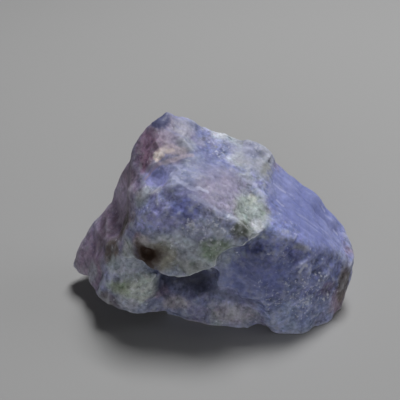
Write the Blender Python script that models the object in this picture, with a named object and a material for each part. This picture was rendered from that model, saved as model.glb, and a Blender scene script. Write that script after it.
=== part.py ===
"""Rough hackmanite: one broken, unpolished lump of a violet-blue mineral.

The stone is one piece. It is built as the masses that its fractures left
standing: each mass is the convex block between a few corners, the masses run
into each other, and a fine remesh makes one skin of them. The skin is then
hollowed in a few places, chipped, thinned to few faces and cut flat where
the stone rests.

Axes: +X to the right and +Y to the back of the show side, +Z up. The origin
is on the surface that the stone rests on, under the middle of its bounding
box.
"""

import bmesh
import bpy
from mathutils import Matrix, Vector, kdtree, noise

MM = 0.001  # lengths are written in millimetres, Blender works in metres

NODE = "hackmanite"
SKIN_CELL_MM = 0.6  # size of the cells that the joined masses are remeshed with
FACES = 8400  # triangles left in the finished solid
JOIN_MM = 0.02  # corners nearer than this become one

# The broken surface
EASING_ROUNDS = 2
LARGE_CHIPS = (80, 5.5, 0.16)  # how many, their radius and their depth in millimetres
SMALL_CHIPS = (230, 3.0, 0.14)
CHIP_LEAN = 0.34  # how far a chip may lean out of the face it is broken from
GRAIN_LEAN = 0.3  # the same for the grains
GRAIN_DISH = 0.12  # how hollow the face of a grain is
LARGE_GRAINS = (3.2, 0.8)  # their size in millimetres, and how strong they are
SMALL_GRAINS = (1.7, 0.5)
STEP_MM = 2.4  # from one cleavage step to the next, on the wing and the middle
STEP_RISE_MM = 0.26
STEPS_CLIMB = Vector((0.26, 0.95, 0.13))  # across the steps, which run down to the right
GOLDEN = 0.6180339887  # spreads the chips evenly

# Colour and sheen of the bare stone
STONE_COLOUR = (0.2, 0.2, 0.32)
STONE_ROUGHNESS = 0.55

# Each mass is the convex block between these corners, in millimetres
MASSES = {
    "summit": [
        (-9.7, 5, 42.3), (-12.6, 3.5, 40.8), (-11.3, 1.5, 40.7), (-6.1, 6.5, 40.7),
        (-2.8, 7.5, 38), (-12.4, -1, 38.4), (-12.5, -4, 35.4), (-9, -2.5, 35.6), (-4, -1.5, 36),
        (-14.5, 4, 39.2), (-16.7, 4, 36), (-18.4, 4.5, 32.1), (-21, 5, 27.2),
        (-22.3, 5.5, 23.8), (-23.2, 6, 20.8), (-13.2, -5.5, 33.5), (-15.8, -8.3, 28.2),
        (-17.5, -8.7, 25.6), (-18.8, -9, 22.4), (-12, 9.5, 37), (-6, 11, 36.5), (-20, 12, 22),
        (-3, 13, 32), (-18, -6, 10), (2, -6, 10), (-20, 12, 6), (-14, 17, 4), (0, 17, 4),
    ],
    "middle": [
        (-2.8, 7.5, 38), (1.9, 8.5, 36.4), (5.4, 8.5, 34.2), (-4, -1.7, 35.9), (8, 0, 30.8),
        (10, 6, 30.5), (-1.3, -11, 30.4), (6, -11, 27), (4, 12, 32), (-4, 12, 33), (-4, 17, 4),
        (10, 17, 4), (8, -8, 10), (-6, -8, 12),
    ],
    "front": [
        (-9.1, -4.5, 34.3), (-8, -3, 35.2), (-4, -2, 35.7), (-14.8, -7.5, 29.7),
        (-11.8, -8.5, 31.4), (-9.4, -8.8, 32.6), (-5.9, -10, 32), (-3.6, -11, 31.5),
        (-1.3, -11.8, 30.4), (2.1, -12.6, 28.8), (5.2, -13, 27.3), (8.4, -12.6, 25.2),
        (-16.4, -10.5, 25.1), (-12.8, -12, 27.6), (-8.6, -12.8, 27.9), (-3.2, -14, 26.8),
        (1.8, -14.8, 25.7), (6.4, -14.6, 24.5), (-19.2, -9.8, 19.2), (-20.1, -10, 16.3),
        (-17.7, -12, 16.5), (-14.2, -13, 16), (-10.9, -14.2, 17.1), (-9.9, -14.8, 15.5),
        (-8.6, -15.2, 14.4), (-6, -15.6, 14.5), (-3.4, -16, 16), (-1.2, -16.2, 16.6),
        (0.7, -16.2, 19), (2.6, -16.2, 19.5), (5, -15.8, 21), (6.8, -15.2, 22.8),
        (8.8, -13.5, 23.1), (8, 0, 29), (0, 3, 13), (-14, 0, 13),
    ],
    "wing": [
        (8.4, -12.4, 24.9), (9.5, -12.4, 23.9), (15, -12.6, 22.2), (19.4, -11.5, 19.2),
        (24.6, -8.5, 16.6), (28.3, -7, 12.9), (30.7, -2, 11.8), (31.1, -3, 8.8),
        (30.6, 3, 11.9), (29.6, 6, 14), (26.2, 7.5, 16.8), (23.7, 8, 19.8), (20.3, 8.5, 22.6),
        (16.9, 8.5, 25.9), (13.9, 8.5, 28.4), (11.5, 2, 28.2), (8, 1, 30), (7.8, -13, 20.1),
        (12.6, -13.5, 18), (-0.8, -14, 15.8), (-0.1, -14.6, 12.2), (2.3, -15.4, 11.3),
        (4.2, -15.8, 10.2), (6, -16, 10.6), (9.4, -16, 10), (12, -14, 4), (29.9, -5, 4.5),
        (28.8, -6, 1.4), (26, 8, 2), (18, 13, 2), (6, 16, 2), (4, 14, 28), (12, 13, 24),
        (0, 0, 10),
    ],
    "crust": [
        (4.9, 8.5, 34.6), (7.5, 8.5, 33.8), (10.4, 8, 34), (11.7, 7.5, 32.8), (13.7, 8, 29.4),
        (3.4, 2, 33.6), (12.8, 3, 28.5), (10, -2.5, 29), (5.8, -2, 31.8), (8.8, -12, 25.3),
        (6.5, -11.8, 26.8), (11, -8, 25.8), (8, 12, 30), (12, 10, 28), (6, 4, 26),
    ],
    "heel": [
        (16.1, -14.2, 16.8), (18.1, -13.2, 17.7), (21.3, -11, 18), (24.6, -8.5, 16.4),
        (28.3, -7, 12.7), (30.2, -4.5, 7.6), (29.9, -5, 4.5), (28.8, -6, 1.4), (26.6, -7.5, -3),
        (25.4, -9.8, -3), (22.9, -12.9, -3), (19.9, -14.4, -3), (15.6, -15, -3),
        (13.2, -14.6, -3), (9.6, -13.4, -3), (10.4, -15.6, 9), (12, 0, 12), (10, 0, -3),
        (24, 2, -3),
    ],
    "foot": [
        (-8.5, -5.5, 12), (-3.2, -5.5, 12), (-9.5, -9, 7), (-5.3, -9.5, 7), (-9.7, -10.5, 1.9),
        (-7, -11, 1.2), (-3.2, -12, 0.2), (0, -13, 0), (3.2, -12.6, 0), (6.1, -13, 0),
        (10.1, -13, -3), (2.6, -12, 7.3), (7.1, -13, 7.7), (-12, -6, -3), (-10, 8, -3),
        (14, 10, -3), (0, 0, 12),
    ],
    "tail": [
        (-23.2, 6, 20.8), (-26.1, 6, 15.5), (-29.1, 5.5, 11.9), (-31.7, 4.5, 7.1),
        (-32.5, 3.5, 4.6), (-30.9, 3, 2.8), (-29.4, 1, 3.4), (-18.6, -8.8, 22),
        (-19.4, -9.4, 19.2), (-20.3, -9.6, 16.1), (-22.7, -9, 13), (-24, -8.6, 9.8),
        (-26, 11, 8), (-22, 13, 5), (-20, 12, 12), (-12, 0, 4), (-12, 0, 14),
    ],
    "lobe": [
        (-23.8, -10.5, 10.1), (-19.8, -11.5, 12.9), (-15.3, -12.6, 13.2), (-11.7, -12.4, 12.2),
        (-24.9, -9.5, 5), (-23.2, -10.5, 4.3), (-20.9, -11.5, 3.5), (-18.4, -11.5, 3.2),
        (-15.1, -12, 2.1), (-13.2, -11.4, 2.1), (-9.9, -10.6, 1.9), (-9.6, -11.2, 6.5),
        (-27.1, -6, 5), (-28.4, -3, 5.4), (-18.6, -13, 9), (-20.3, -10, 15.6), (-26, 0, 10),
        (-12, 0, 3), (-26, 0, 4), (-10, -4, 12),
    ],
    "back shelf": [
        (-8, 18.5, 2), (12, 19.5, 1), (19, 13, 2), (-12, 16.5, 8), (-6, 19, 14), (8, 19.5, 16),
        (15, 16, 15), (17, 11, 18), (-8, 10, 20), (10, 8, 24), (0, 0, 4),
    ],
}

# What is missing: each is the convex block between these corners, in millimetres
BITES = {
    "pit": [
        (-15.9, -15, 21.4), (-15.8, -15, 18.8), (-14.2, -15.5, 16.4), (-11.2, -15.5, 19.4),
        (-13.2, -15.5, 20.7), (-15.6, -13, 21.1), (-15.5, -13, 18.9), (-14.2, -13.4, 16.8),
        (-11.5, -13.6, 19.3), (-13.3, -13.2, 20.4), (-14.2, -10.6, 18.8), (-13.4, -10.7, 19.1),
    ],
    "resting flat": [
        (-60, -60, -12), (60, -60, -12), (60, 60, -12), (-60, 60, -12), (-60, -60, 0),
        (60, -60, 0), (60, 60, 0), (-60, 60, 0),
    ],
}

# Hollows: middle, radius and depth, in millimetres
HOLLOWS = {
    "scoop under the pale vein": ((-11.4, -6, 32.6), 4.2, 1.1),
    "groove under the pale vein": ((-6.5, -2.6, 35.6), 3, 0.8),
    "end of that groove": ((-2.5, -2, 35.3), 2.4, 0.6),
    "recess under the wing": ((10, -14.2, 19), 6.5, 1.5),
    "nook beside the heel": ((14.6, -13, 18.6), 3.4, 1.6),
    "cleft under the blue bulge": ((2.5, -14.2, 9.8), 2.8, 1.2),
    "end of that cleft": ((7.5, -14.4, 9), 2.6, 1),
    "valley beside the lobe": ((-9.4, -11.5, 8.5), 4.5, 1.6),
    "groove above the lobe": ((-16.5, -12.6, 14.2), 4.5, 1.1),
    "hollow in the left face": ((-20.5, -2, 22), 8, 1.2),
    "hollow in the back": ((-4, 15.5, 20), 9, 1.8),
    "back of the wing": ((20, 11, 12), 8, 1.4),
}


def block(name, corners_mm):
    """An object that is the convex block between these corners."""
    shape = bmesh.new()
    corners = [shape.verts.new(Vector(corner) * MM) for corner in corners_mm]
    bmesh.ops.convex_hull(shape, input=corners)
    bmesh.ops.delete(shape, geom=[v for v in corners if not v.link_faces], context="VERTS")
    bmesh.ops.recalc_face_normals(shape, faces=shape.faces)
    mesh = bpy.data.meshes.new(name)
    shape.to_mesh(mesh)
    shape.free()
    made = bpy.data.objects.new(name, mesh)
    bpy.context.scene.collection.objects.link(made)
    return made


def combine(stone, blocks, operation):
    """Joins the blocks to the stone, or takes them out of it."""
    for other in blocks:
        step = stone.modifiers.new(other.name, "BOOLEAN")
        step.operation = operation
        step.solver = "EXACT"
        step.object = other
    apply_modifiers(stone)
    for other in blocks:
        bpy.data.objects.remove(other)


def apply_modifiers(obj):
    """Replaces the object's mesh with what its modifiers make of it."""
    graph = bpy.context.evaluated_depsgraph_get()
    made = bpy.data.meshes.new_from_object(obj.evaluated_get(graph))
    obj.modifiers.clear()
    obj.data = made


def grains(at, size, seed):
    """Height of the grains of this size: leaning faces that meet in creases."""
    place = at / size + Vector((seed, 0, 0))
    lowest = 9.0
    for distance, centre in zip(*noise.voronoi(place)):
        lean = noise.cell_vector(centre * 5.3) - Vector((0.5, 0.5, 0.5))
        lowest = min(lowest, GRAIN_LEAN * lean.dot(place - centre) + GRAIN_DISH * distance * distance)
    return lowest * size


def steps(at):
    """Height of the long, low steps that run down the stone along its cleavage."""
    across = at.dot(STEPS_CLIMB) / STEP_MM + 0.5 * noise.noise(at / 11)
    along = across % 1
    return along - 0.5 if along < 0.75 else 1 - 2 * (along - 0.5)


def strength_at(at, normal):
    """How strong the chips and grains are here, and the cleavage steps."""
    upward = min(max((normal.z - 0.35) / 0.3, 0), 1)
    wing = min(max((at.x - 8) / 3, 0), 1) * upward
    middle = min(max((at.x + 6) / 3, 0), 1) * min(max((38 - at.z) / 3, 0), 1) * upward * (1 - wing)
    crust = max(0, 1 - (at - Vector((8, 4, 31))).length / 9)
    front = min(max(-normal.y, 0), 1) * (1 - upward)
    return 1 - 0.7 * wing - 0.5 * middle + 0.6 * crust + 0.5 * front, max(wing, 0.8 * middle)


def ease(shape, rounds):
    """Evens out the small stairs of the remeshed skin."""
    for _ in range(rounds):
        bmesh.ops.smooth_vert(
            shape, verts=shape.verts, factor=0.5, use_axis_x=True, use_axis_y=True, use_axis_z=True
        )


def drop_inner_skins(shape):
    """Deletes the skins of gaps that the masses closed in, and keeps the outer one."""
    unseen = set(shape.verts)
    skins = []
    while unseen:
        edge = [unseen.pop()]
        skin = set(edge)
        while edge:
            vert = edge.pop()
            for link in vert.link_edges:
                other = link.other_vert(vert)
                if other in unseen:
                    unseen.remove(other)
                    skin.add(other)
                    edge.append(other)
        skins.append(skin)
    outer = max(skins, key=len)
    inner = [vert for skin in skins if skin is not outer for vert in skin]
    bmesh.ops.delete(shape, geom=inner, context="VERTS")


def hollow(shape):
    """Presses the hollows in."""
    shape.normal_update()
    for vert in shape.verts:
        at = vert.co / MM
        depth = 0.0
        for middle, radius, deepest in HOLLOWS.values():
            inside = 1 - ((at - Vector(middle)).length / radius) ** 2
            if inside > 0:
                depth += deepest * inside * inside
        vert.co -= vert.normal * (depth * MM)


def chip(shape, count, radius_mm, depth_mm):
    """Knocks flat chips off the skin, spread evenly over it."""
    shape.normal_update()
    shape.verts.ensure_lookup_table()
    tree = kdtree.KDTree(len(shape.verts))
    for vert in shape.verts:
        tree.insert(vert.co, vert.index)
    tree.balance()
    for turn in range(count):
        seat = shape.verts[int(len(shape.verts) * (turn * GOLDEN % 1))]
        at = seat.co / MM
        strength, _ = strength_at(at, seat.normal)
        luck = noise.cell_vector(at * 7.7 + Vector((turn, 0, 0)))
        away = (seat.normal + CHIP_LEAN * (luck - Vector((0.5, 0.5, 0.5)))).normalized()
        radius = radius_mm * (0.7 + 0.6 * luck.x) * MM
        floor = seat.co - away * (depth_mm * strength * (0.4 + luck.y) * MM)
        for _, index, distance in tree.find_range(seat.co, radius):
            vert = shape.verts[index]
            above = (vert.co - floor).dot(away)
            if above > 0:
                vert.co -= away * (above * min(1, 2.5 * (1 - distance / radius)))


def roughen(shape):
    """Raises the grains of the skin, and its cleavage steps."""
    shape.normal_update()
    heights = []
    for vert in shape.verts:
        at = vert.co / MM
        strength, cleavage = strength_at(at, vert.normal)
        height = cleavage * STEP_RISE_MM * steps(at) * (0.8 + 0.9 * noise.noise(at / 7))
        for seed, (size, share) in ((11.2, LARGE_GRAINS), (5.9, SMALL_GRAINS)):
            height += strength * share * grains(at, size, seed)
        heights.append(height)
    level = sum(heights) / len(heights)
    for vert, height in zip(shape.verts, heights):
        vert.co += vert.normal * ((height - level) * MM)


def weather(mesh):
    """Eases, hollows, chips and roughens the skin."""
    shape = bmesh.new()
    shape.from_mesh(mesh)
    drop_inner_skins(shape)
    ease(shape, EASING_ROUNDS)
    hollow(shape)
    chip(shape, *LARGE_CHIPS)
    chip(shape, *SMALL_CHIPS)
    roughen(shape)
    shape.to_mesh(mesh)
    shape.free()


def settle(mesh):
    """Moves the stone so that the origin is under the middle of its bounding box, on its flat."""
    xs, ys, zs = zip(*(vert.co for vert in mesh.vertices))
    middle = Vector(((min(xs) + max(xs)) / 2, (min(ys) + max(ys)) / 2, min(zs)))
    mesh.transform(Matrix.Translation(-middle))


def tidy(mesh):
    """Joins corners that touch and makes every face a triangle."""
    shape = bmesh.new()
    shape.from_mesh(mesh)
    bmesh.ops.remove_doubles(shape, verts=shape.verts, dist=JOIN_MM * MM)
    bmesh.ops.dissolve_degenerate(shape, edges=shape.edges, dist=JOIN_MM * MM)
    bmesh.ops.triangulate(shape, faces=shape.faces)
    bmesh.ops.recalc_face_normals(shape, faces=shape.faces)
    shape.to_mesh(mesh)
    shape.free()


def bare_stone():
    """The material of the stone, one even colour."""
    material = bpy.data.materials.new("hackmanite")
    material.use_nodes = True
    surface = material.node_tree.nodes["Principled BSDF"]
    surface.inputs["Base Color"].default_value = (*STONE_COLOUR, 1)
    surface.inputs["Roughness"].default_value = STONE_ROUGHNESS
    surface.inputs["Metallic"].default_value = 0
    return material


def main():
    for old in list(bpy.data.objects):
        bpy.data.objects.remove(old)
    masses = [block(name, corners) for name, corners in MASSES.items()]
    stone = masses[0]
    stone.name = NODE
    combine(stone, masses[1:], "UNION")
    skin = stone.modifiers.new("one skin", "REMESH")
    skin.mode = "VOXEL"
    skin.voxel_size = SKIN_CELL_MM * MM
    apply_modifiers(stone)
    weather(stone.data)
    thinning = stone.modifiers.new("fewer faces", "DECIMATE")
    thinning.ratio = FACES / (2 * len(stone.data.vertices))
    apply_modifiers(stone)
    combine(stone, [block(name, corners) for name, corners in BITES.items()], "DIFFERENCE")
    tidy(stone.data)
    settle(stone.data)
    stone.data.materials.clear()
    stone.data.materials.append(bare_stone())


main()
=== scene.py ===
"""Dressed model of a rough lump of hackmanite.

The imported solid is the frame. The skin of the stone is made finer from it,
with the facets, the chips, the grain and the cleavage streaks that a broken
mineral shows, and its finish is laid on as clouds, seams and specks of
colour. Lengths are in millimetres until they reach Blender, except for the
floor and the lamps, whose lengths are in metres.
"""

import logging
import math
from collections.abc import Sequence
from dataclasses import dataclass
from enum import Enum

import bmesh
import bpy
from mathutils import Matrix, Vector, noise


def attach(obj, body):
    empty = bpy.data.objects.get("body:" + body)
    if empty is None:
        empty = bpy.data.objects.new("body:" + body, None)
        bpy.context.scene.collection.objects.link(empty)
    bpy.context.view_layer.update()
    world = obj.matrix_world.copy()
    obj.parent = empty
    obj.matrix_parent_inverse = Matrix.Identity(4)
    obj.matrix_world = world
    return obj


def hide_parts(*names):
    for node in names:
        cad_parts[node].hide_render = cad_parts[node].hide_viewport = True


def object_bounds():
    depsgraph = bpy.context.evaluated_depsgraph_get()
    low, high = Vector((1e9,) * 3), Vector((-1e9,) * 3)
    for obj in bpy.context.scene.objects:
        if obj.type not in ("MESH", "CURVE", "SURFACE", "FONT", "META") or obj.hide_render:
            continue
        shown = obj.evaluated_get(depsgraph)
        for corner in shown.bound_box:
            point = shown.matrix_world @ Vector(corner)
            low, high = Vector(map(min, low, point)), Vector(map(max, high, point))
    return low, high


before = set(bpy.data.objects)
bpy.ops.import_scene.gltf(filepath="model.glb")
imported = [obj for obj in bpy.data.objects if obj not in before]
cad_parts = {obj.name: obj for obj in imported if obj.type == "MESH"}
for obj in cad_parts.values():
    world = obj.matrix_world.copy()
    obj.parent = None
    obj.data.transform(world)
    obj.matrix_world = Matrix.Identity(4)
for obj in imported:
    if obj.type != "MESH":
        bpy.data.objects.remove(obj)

LOG = logging.getLogger("hackmanite")

CAD_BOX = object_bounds()
MM = 0.001
NODE = "hackmanite"
BODY = "root"

# The middle of a noise's values, as a number and as a vector
HALF = 0.5
HALVES = (HALF, HALF, HALF)

Triple = tuple[float, float, float]
Spot = tuple[Triple, float]
Bulge = tuple[Triple, float, float]
Face = tuple[Triple, Triple, float]
Socket = bpy.types.NodeSocket
Sockets = bpy.types.bpy_prop_collection
Value = float | Sequence[float] | Socket
Verts = list[bmesh.types.BMVert] | bmesh.types.BMVertSeq


class Tone(Enum):
    """Colours of the stone, and of its painted shade and glints, as red, green and blue from 0 to 255, in
    full light.
    """

    VIOLET_BLUE = (122, 130, 185)
    LIGHT_VIOLET = (152, 158, 206)
    INDIGO = (138, 140, 190)
    DEEP_BLUE = (92, 102, 164)
    SLATE = (124, 130, 166)
    LILAC = (150, 156, 192)
    ROSE_GREY = (166, 146, 168)
    PINK_GREY = (164, 156, 180)
    PURPLE_BROWN = (142, 112, 138)
    MAUVE_GREY = (146, 128, 152)
    GREY_GREEN = (172, 180, 190)
    SAGE = (188, 196, 190)
    MOSS = (112, 130, 102)
    PALE_GREEN = (166, 178, 172)
    CREAM = (228, 214, 208)
    TAN = (182, 176, 176)
    UMBER = (94, 82, 76)
    RUST = (54, 36, 24)
    WHITE = (226, 229, 238)
    ASH = (170, 173, 186)
    OLIVE_GREY = (128, 127, 104)
    # dark specks of the stone, and also painted shade in the clefts, beside the hollow and under the blue
    # lobe
    INK = (84, 88, 114)
    DUSK = (126, 130, 168)
    SCOOP_BLUE = (166, 170, 232)
    STEEL = (104, 112, 160)
    WINE = (108, 92, 112)
    BLUSH = (214, 198, 206)
    DEEP_SLATE = (76, 82, 124)
    PALE_MAUVE = (186, 174, 204)
    FROST = (190, 194, 226)
    GLINT = (214, 217, 246)
    LEAF_GREEN = (136, 150, 116)
    # dark green; also the painted shade on the front face below the pale-green patch
    DARK_MOSS = (92, 98, 84)
    # painted shade: the near black of the hollow under the ledge
    NIGHT = (34, 36, 52)
    HEEL_GREY = (148, 160, 194)

    def linear(self) -> tuple[float, float, float, float]:
        """Returns the colour as a node socket takes it, by the usual curve of screens."""
        parts = [(part / 255 + 0.055) / 1.055 for part in self.value]
        return (*(part**2.4 for part in parts), 1.0)


@dataclass(frozen=True)
class Cloud:
    """A soft-edged patch of one colour that goes a little way into the stone."""

    centre: Triple
    reach: Triple
    tone: Tone
    share: float = 0.85
    softness: float = 0.35


@dataclass(frozen=True)
class Seam:
    """A thin line of one colour along some points of the surface."""

    points: tuple[Triple, ...]
    width: float
    tone: Tone
    share: float = 0.8


@dataclass(frozen=True)
class Texture:
    """A noise: the size of its spots, and how finely and how strongly they break up."""

    size: float
    detail: float = 2.0
    rough: float = 0.5


@dataclass(frozen=True)
class Field:
    """A wide patch of one colour in the ground, where a noise of this size goes from low to high."""

    size: float
    low: float
    high: float
    tone: Tone
    shift: Triple


@dataclass(frozen=True)
class Scatter:
    """Specks of one colour, where a noise goes from one value to another."""

    start: float
    full: float
    share: float
    tone: Tone


@dataclass(frozen=True)
class Facets:
    """One set of flat facets in the skin, with how wide and how deep they are."""

    size: float
    depth: float
    seed: float


# Wide patches in the ground under the clouds, the lowest first
FIELDS = (
    Field(10, 0.52, 0.64, Tone.GREY_GREEN, (31, 7, 3)),
    Field(9, 0.56, 0.66, Tone.MAUVE_GREY, (3, 41, 13)),
    Field(8, 0.55, 0.66, Tone.VIOLET_BLUE, (11, 5, 57)),
    Field(6, 0.62, 0.72, Tone.TAN, (71, 19, 5)),
)

# Patches of colour, the lowest first
CLOUDS = (
    # the left face and the tail
    Cloud((-20, -2, 22), (9, 9, 16), Tone.MAUVE_GREY, 0.9),
    Cloud((-19.2, 0.7, 24.2), (3, 4, 3.2), Tone.PALE_MAUVE, 0.95),
    Cloud((-22.6, -2, 17.6), (3.2, 4.5, 3.6), Tone.WINE, 0.85),
    Cloud((-23.2, -4, 16.4), (2.6, 3.5, 3), Tone.WINE, 0.6),
    Cloud((-27, -4.5, 8), (5, 6, 6), Tone.PURPLE_BROWN, 0.7),
    Cloud((-26.6, -4.6, 8), (2.4, 3, 2.6), Tone.ASH, 0.8),
    Cloud((-28.6, 1, 9), (3.5, 5, 7), Tone.MAUVE_GREY, 0.85),
    Cloud((-19.5, -0.5, 25), (3, 4, 5), Tone.ROSE_GREY, 0.35),
    # the top
    Cloud((-7.5, -0.5, 38.5), (5, 5, 4.5), Tone.PINK_GREY),
    Cloud((-11.2, -2.4, 37.6), (3.2, 3, 3.4), Tone.ROSE_GREY, 0.75, 0.6),
    Cloud((-1, -8, 32), (9, 7, 5), Tone.DUSK),
    Cloud((2, -9, 30.5), (6, 6, 4), Tone.PINK_GREY, 0.7),
    Cloud((0, 1, 35), (6, 5, 4), Tone.VIOLET_BLUE, 0.6),
    Cloud((9.5, 3, 32), (5, 6, 4.5), Tone.ASH),
    Cloud((8.4, 3.2, 33.3), (2.4, 3, 2), Tone.DUSK, 0.6),
    Cloud((-4.5, -1.4, 37.4), (2.4, 2, 1.8), Tone.GREY_GREEN, 0.6),
    Cloud((-0.5, -5.9, 33.3), (3, 3, 2), Tone.DUSK, 0.5),
    Cloud((12.2, -0.3, 29.8), (2.2, 3, 2), Tone.OLIVE_GREY, 0.45),
    Cloud((4.3, -0.4, 32.8), (1.9, 1.5, 1.4), Tone.WHITE, 0.3),
    Cloud((1.5, 5.5, 36.5), (2, 1.6, 1.5), Tone.WHITE, 0.5),
    Cloud((-13.4, -1.2, 36.4), (2.6, 4.5, 4.2), Tone.PURPLE_BROWN, 0.9, 0.5),
    Cloud((-13.3, -4, 34.1), (1.8, 2.5, 2.2), Tone.PURPLE_BROWN),
    Cloud((-11, -6.8, 32.2), (2.6, 2.4, 2), Tone.SCOOP_BLUE, 0.85, 0.6),
    Cloud((-6, -8, 33.4), (3, 3, 2), Tone.LILAC, 0.6),
    Cloud((-10.9, -4.8, 35.7), (1.6, 1.6, 0.9), Tone.CREAM, 0.95),
    Cloud((-9.2, -4, 36.4), (1.6, 1.4, 0.6), Tone.CREAM, 0.8),
    Cloud((-7.2, -3.2, 36.3), (2.6, 1.6, 1), Tone.BLUSH, 0.55),
    Cloud((-5.6, 2.3, 39.4), (3, 3, 2), Tone.ASH, 0.5),
    # the wing
    Cloud((21, -1, 21), (14, 13, 10), Tone.VIOLET_BLUE, 1, 0.15),
    Cloud((26, -3, 15), (6, 6, 4), Tone.LIGHT_VIOLET, 0.4),
    Cloud((12.4, -13, 23), (4, 3, 2.6), Tone.VIOLET_BLUE, 0.85),
    Cloud((15.5, 3, 26.5), (4, 6, 4), Tone.LIGHT_VIOLET, 0.35),
    Cloud((12.3, -12.1, 24.6), (3, 2.4, 2), Tone.VIOLET_BLUE, 0.8),
    Cloud((13.1, -2.4, 26.8), (3, 3, 2), Tone.LIGHT_VIOLET, 0.4),
    # the front
    Cloud((-4, -16, 21), (10, 4, 5.5), Tone.GREY_GREEN, 0.9),
    Cloud((-2.5, -15.6, 24.4), (3, 2.5, 2), Tone.DUSK, 0.6),
    Cloud((-7.4, -16.2, 19), (2.4, 2, 2.4), Tone.ASH, 0.75),
    Cloud((-9, -12.5, 28), (7, 3.5, 4.5), Tone.INDIGO, 0.85),
    Cloud((-5.4, -13.5, 28.8), (3, 2.2, 2.2), Tone.DEEP_BLUE, 0.75),
    Cloud((-14.2, -12.1, 26.6), (2, 2, 3), Tone.LIGHT_VIOLET, 0.6),
    Cloud((-14.3, -9.6, 29.5), (1.8, 1.8, 2.4), Tone.PALE_GREEN, 0.4),
    Cloud((-11.4, -8.8, 30.8), (2.2, 1.2, 0.9), Tone.PALE_GREEN, 0.4),
    Cloud((0.8, -17.2, 21.4), (3.8, 2.5, 2.6), Tone.MOSS, 0.8),
    Cloud((7.7, -11.2, 26.5), (3.8, 5, 4), Tone.PALE_GREEN),
    # painted shade: the front face below the pale-green patch, darkened as if shaded
    Cloud((6.4, -15.3, 25.4), (3, 1.8, 1.9), Tone.DARK_MOSS, 0.9),
    Cloud((9, -13.2, 25), (1.4, 1.4, 1.4), Tone.WHITE, 0.7),
    Cloud((-4.5, -17, 17.4), (3.2, 2, 1.8), Tone.DARK_MOSS, 0.75),
    # round the pit and down the lobe
    Cloud((-18.1, -7.6, 21.7), (2.2, 3, 3.2), Tone.UMBER, 0.9),
    Cloud((-21.1, -9.4, 16.3), (2.5, 3, 3.2), Tone.UMBER, 0.95),
    Cloud((-17, -12.7, 18), (2.2, 2, 3), Tone.SAGE, 0.7),
    Cloud((-17.5, -11.8, 14), (5.5, 2.5, 2.4), Tone.GREY_GREEN, 0.85),
    Cloud((-14, -14.2, 9.5), (5, 2.5, 4), Tone.SAGE, 0.9),
    Cloud((-19.4, -13.6, 9.8), (3.2, 1.8, 1.8), Tone.LEAF_GREEN, 0.8, 0.6),
    Cloud((-22, -12.6, 5.6), (3.4, 2.5, 2.6), Tone.UMBER, 0.7),
    Cloud((-17.6, -14, 6), (2.4, 2, 1.8), Tone.ASH, 0.7),
    Cloud((-11.8, -13, 4.8), (3, 2, 1.8), Tone.SLATE, 0.7),
    Cloud((-10, -15.3, 19.2), (3, 2.4, 3), Tone.OLIVE_GREY, 0.75),
    # below the ledge
    Cloud((-4, -12.5, 4), (7, 4, 4), Tone.SLATE),
    Cloud((4.5, -14.3, 3.5), (5.5, 2.5, 2.2), Tone.TAN, 0.6, 0.6),
    Cloud((-7.6, -12, 4.4), (2.6, 2.4, 1.6), Tone.TAN, 0.6),
    Cloud((5, -16.6, 13), (6, 2.5, 3.2), Tone.DEEP_BLUE, 0.7),
    Cloud((12, -14, 17.8), (8, 3, 3.5), Tone.DEEP_BLUE),
    Cloud((12, -16, 13), (9, 4, 6), Tone.STEEL, 0.9),
    # dark blue stone, with painted shade under the wing's overhanging edge
    Cloud((8.4, -14.8, 18.8), (4, 2.5, 2.6), Tone.DEEP_SLATE, 0.7, 0.5),
    Cloud((12.5, -15.5, 14.6), (3.5, 2.5, 2.5), Tone.DEEP_BLUE, 0.5),
    Cloud((15.6, -12.9, 17.4), (2, 1.6, 1), Tone.LIGHT_VIOLET, 0.5),
    Cloud((18.3, -13.7, 19.9), (2.2, 1.5, 1.2), Tone.OLIVE_GREY, 0.6),
    Cloud((24, -12, 12), (7, 5, 6), Tone.STEEL, 0.9),
    Cloud((24.7, -12.1, 8.7), (2.6, 2, 1.8), Tone.WINE, 0.6),
    Cloud((28.6, -8.8, 6.6), (2.2, 3, 5), Tone.UMBER, 0.9),
    Cloud((18, -15.8, 4.5), (8, 3, 4), Tone.HEEL_GREY, 0.8),
    Cloud((20.8, -15, 4.6), (4.2, 3, 3), Tone.STEEL, 0.6),
)

# Patches that go over the grain and the specks, the lowest first: brown and rust patches round the pit, a
# dark facet at the tip, and painted shade in the hollow under the ledge
STAINS_AND_SHADE = (
    Cloud((-12.2, -14, 18.9), (3.6, 5, 3.6), Tone.UMBER, 0.55, 0.6),
    Cloud((-13, -13.4, 18.4), (2.3, 4, 2.5), Tone.RUST, 0.97, 0.5),
    Cloud((-10.9, 2, 41), (2.6, 3, 1.6), Tone.DEEP_SLATE, 0.85, 0.25),
    Cloud((-14.3, -13.6, 20.3), (1, 2.5, 1.4), Tone.RUST, 0.75, 0.5),
    Cloud((-11.3, -15.1, 19), (1.5, 2.5, 1), Tone.RUST, 0.7, 0.5),
    # painted shade: the hollow under the ledge, near black as if in deep shadow
    Cloud((-5, -9.8, 9.3), (6.2, 5, 2.9), Tone.NIGHT, 0.9, 0.5),
    # painted shade at the left end of the hollow, down the groove beside the lobe
    Cloud((-9.4, -13, 10), (2.4, 4, 4), Tone.INK, 0.6, 0.7),
)

# Along the rim of the ledge, from left to right
LEDGE_RIM = (
    (-10.2, -15.9, 17.1), (-9.2, -16.5, 15.5), (-7.9, -16.9, 14.4), (-5.3, -17.3, 14.5),
    (-2.7, -17.7, 16), (-0.5, -17.9, 16.6), (1.4, -17.9, 19), (3.3, -17.9, 19.5),
    (5.7, -17.5, 21), (7.5, -16.9, 22.8), (9.5, -15.2, 23.1),
)

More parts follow.
